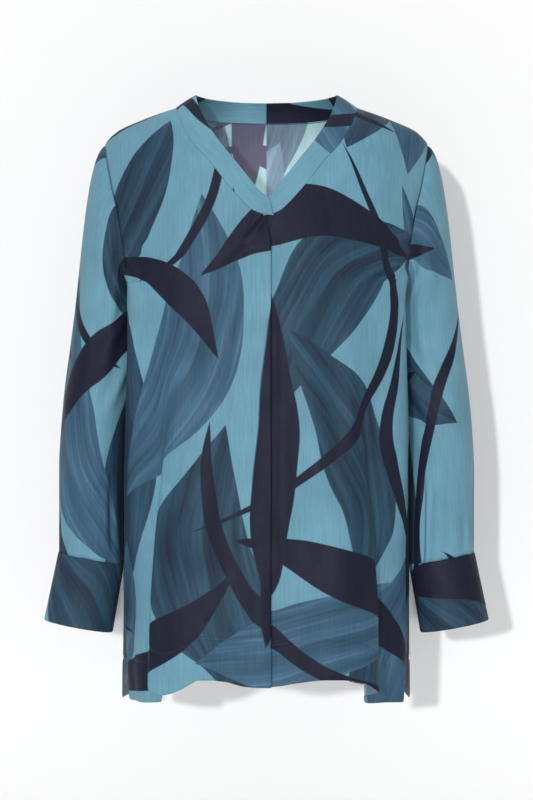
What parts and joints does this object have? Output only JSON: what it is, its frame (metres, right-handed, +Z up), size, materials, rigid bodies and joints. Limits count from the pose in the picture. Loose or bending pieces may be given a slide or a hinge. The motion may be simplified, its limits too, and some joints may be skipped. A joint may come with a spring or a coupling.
{
  "type": "long-sleeved tunic blouse with a V neck",
  "caption": "Printed tunic blouse with a V neck and narrow band, centre-front pleat, long sleeves with deep cuffs and side slits, filled out as worn.",
  "frame": {"origin": "on the centre line between front and back, level with the shoulder seams at the neck, where the wearer's shoulders carry it", "axes": "+Z up, -Y out of the garment's front, +X towards the wearer's left"},
  "size_m": [0.554, 0.2505, 0.7539],
  "materials": {
    "front_cloth": "printed viscose, soft sheen, teal, slate and navy",
    "back_cloth": "printed viscose, soft sheen, teal, slate and navy",
    "sleeve_cloth": "printed viscose, soft sheen, teal, slate and navy",
    "cuff_cloth": "printed viscose, soft sheen, mostly navy",
    "band_cloth": "printed viscose, soft sheen, mostly teal"
  },
  "bodies": {
    "root": {"front_panel": "front_cloth", "back_left": "back_cloth", "back_right": "back_cloth", "sleeve_left": "sleeve_cloth", "sleeve_right": "sleeve_cloth", "cuff_left": "cuff_cloth", "cuff_right": "cuff_cloth", "neckband_left": "band_cloth", "neckband_right": "band_cloth"}
  },
  "joints": []
}
